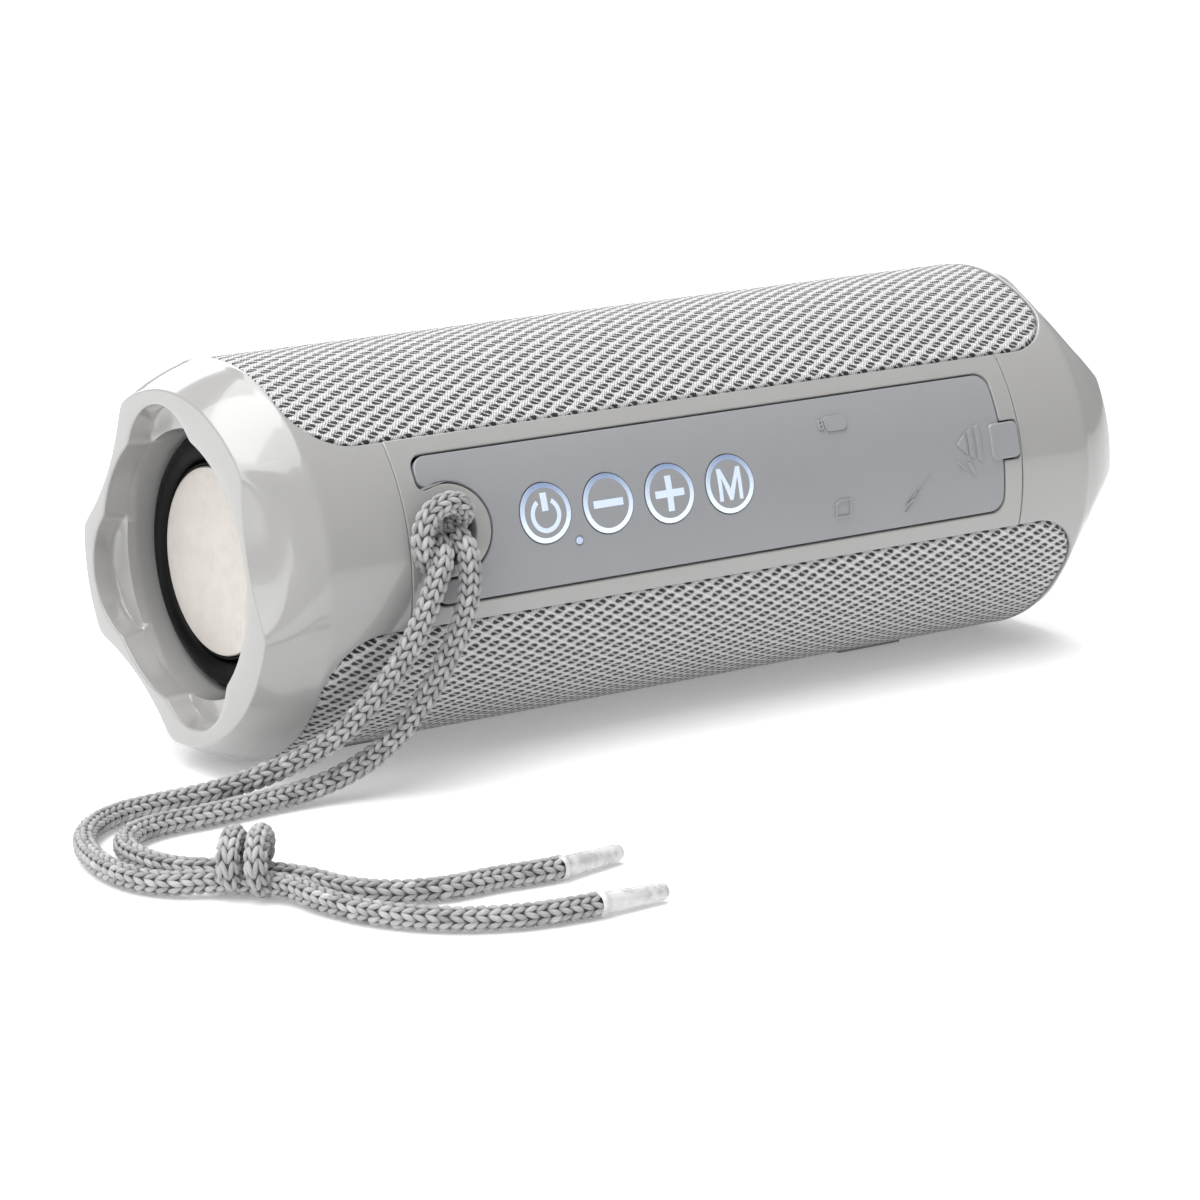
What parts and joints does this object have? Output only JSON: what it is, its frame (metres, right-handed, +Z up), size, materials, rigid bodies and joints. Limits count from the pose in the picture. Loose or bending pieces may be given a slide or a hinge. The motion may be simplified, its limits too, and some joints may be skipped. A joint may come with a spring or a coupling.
{
  "type": "portable bluetooth speaker",
  "caption": "Cylindrical fabric-covered portable speaker lying on its side, with lobed end caps, a radiator in each end, a lit key strip, a hinged port cover and a wrist lanyard.",
  "frame": {"origin": "on the floor under the middle of the tube", "axes": "+X along the tube towards the pull-tab end, -Y towards the control strip, +Z up"},
  "size_m": [0.2464, 0.1563, 0.0755],
  "materials": {
    "cap_gloss": "warm light grey high gloss moulding",
    "panel_silicone": "satin cool grey silicone",
    "legend_light": "lit translucent lens",
    "knit_fabric": "pale grey polyester knit with open diamond mesh",
    "cord_braid": "light grey herringbone braid",
    "tip_plastic": "milky translucent heat-shrunk tip",
    "black_rubber": "satin black rubber",
    "black_plastic": "moulded black plastic",
    "disc_satin": "satin spun champagne aluminium",
    "steel": "plated steel",
    "board": "green solder mask",
    "components": "moulded black packages",
    "cell_wrap": "heat-shrunk blue sleeve",
    "paper_cone": "coated paper pulp",
    "magnet": "ferrite",
    "wire": "insulated wire",
    "guide": "clear diffuser"
  },
  "bodies": {
    "root": {"left_end_cap": "cap_gloss", "right_end_cap": "cap_gloss", "strip_frame": "cap_gloss", "grille_fabric": "knit_fabric", "grille_shell": "black_plastic", "cap_seals": "black_rubber", "control_panel": "panel_silicone", "status_lens": "legend_light", "lanyard_pin": "steel", "key_board": "board", "key_switches": "steel", "key_leds": "legend_light", "light_guide": "guide", "main_board": "board", "usb_socket": "steel", "card_slot": "steel", "charge_socket": "steel", "audio_jack": "black_plastic", "bluetooth_module": "steel", "board_components": "components", "battery_cell": "cell_wrap", "battery_cradle": "black_plastic", "chassis_front": "black_plastic", "chassis_rear": "black_plastic", "driver_magnets": "magnet", "driver_screws": "steel", "cap_screws": "steel", "board_screws": "steel", "rubber_feet": "panel_silicone", "battery_leads": "wire", "speaker_leads": "wire", "lanyard_loop": "cord_braid", "lanyard_strand_a": "cord_braid", "lanyard_strand_b": "cord_braid", "lanyard_knot": "cord_braid", "lanyard_tail_a": "cord_braid", "lanyard_tail_b": "cord_braid", "lanyard_tip_a": "tip_plastic", "lanyard_tip_b": "tip_plastic", "left_driver_basket": "black_plastic", "left_driver_surround": "black_rubber", "left_radiator_ring": "black_plastic", "left_radiator_surround": "black_rubber", "right_driver_basket": "black_plastic", "right_driver_surround": "black_rubber", "right_radiator_ring": "black_plastic", "right_radiator_surround": "black_rubber"},
    "power_key": {"power_button": "panel_silicone"},
    "minus_key": {"minus_button": "panel_silicone"},
    "plus_key": {"plus_button": "panel_silicone"},
    "mode_key": {"mode_button": "panel_silicone"},
    "port_flap": {"port_cover": "panel_silicone"},
    "left_radiator": {"left_radiator_disc": "disc_satin"},
    "right_radiator": {"right_radiator_disc": "disc_satin"},
    "left_cone": {"left_driver_cone": "paper_cone"},
    "right_cone": {"right_driver_cone": "paper_cone"}
  },
  "joints": [
    {"name": "power_press", "type": "slide", "parent": "root", "child": "power_key", "axis": [0, 0.9681, -0.2504], "range_m": [0, 0.0005], "stiffness_N_per_m": 600},
    {"name": "minus_press", "type": "slide", "parent": "root", "child": "minus_key", "axis": [0, 0.9681, -0.2504], "range_m": [0, 0.0005], "stiffness_N_per_m": 600},
    {"name": "plus_press", "type": "slide", "parent": "root", "child": "plus_key", "axis": [0, 0.9681, -0.2504], "range_m": [0, 0.0005], "stiffness_N_per_m": 600},
    {"name": "mode_press", "type": "slide", "parent": "root", "child": "mode_key", "axis": [0, 0.9681, -0.2504], "range_m": [0, 0.0005], "stiffness_N_per_m": 600},
    {"name": "port_cover_hinge", "type": "hinge", "parent": "root", "child": "port_flap", "pos_m": [0.01745, -0.0364, 0.04741], "axis": [0, -0.2504, -0.9681], "range_deg": [0, 115], "stiffness_Nm_per_rad": 0.01},
    {"name": "left_radiator_travel", "type": "slide", "parent": "root", "child": "left_radiator", "axis": [-1, 0, 0], "range_m": [-0.0015, 0.0015], "stiffness_N_per_m": 2500, "deforming": ["left_radiator_surround"]},
    {"name": "right_radiator_travel", "type": "slide", "parent": "root", "child": "right_radiator", "axis": [1, 0, 0], "range_m": [-0.0015, 0.0015], "stiffness_N_per_m": 2500, "deforming": ["right_radiator_surround"]},
    {"name": "left_cone_travel", "type": "slide", "parent": "root", "child": "left_cone", "axis": [0, 0.9681, -0.2504], "range_m": [-0.001, 0.001], "stiffness_N_per_m": 1500, "deforming": ["left_driver_surround"]},
    {"name": "right_cone_travel", "type": "slide", "parent": "root", "child": "right_cone", "axis": [0, 0.9681, -0.2504], "range_m": [-0.001, 0.001], "stiffness_N_per_m": 1500, "deforming": ["right_driver_surround"]}
  ]
}
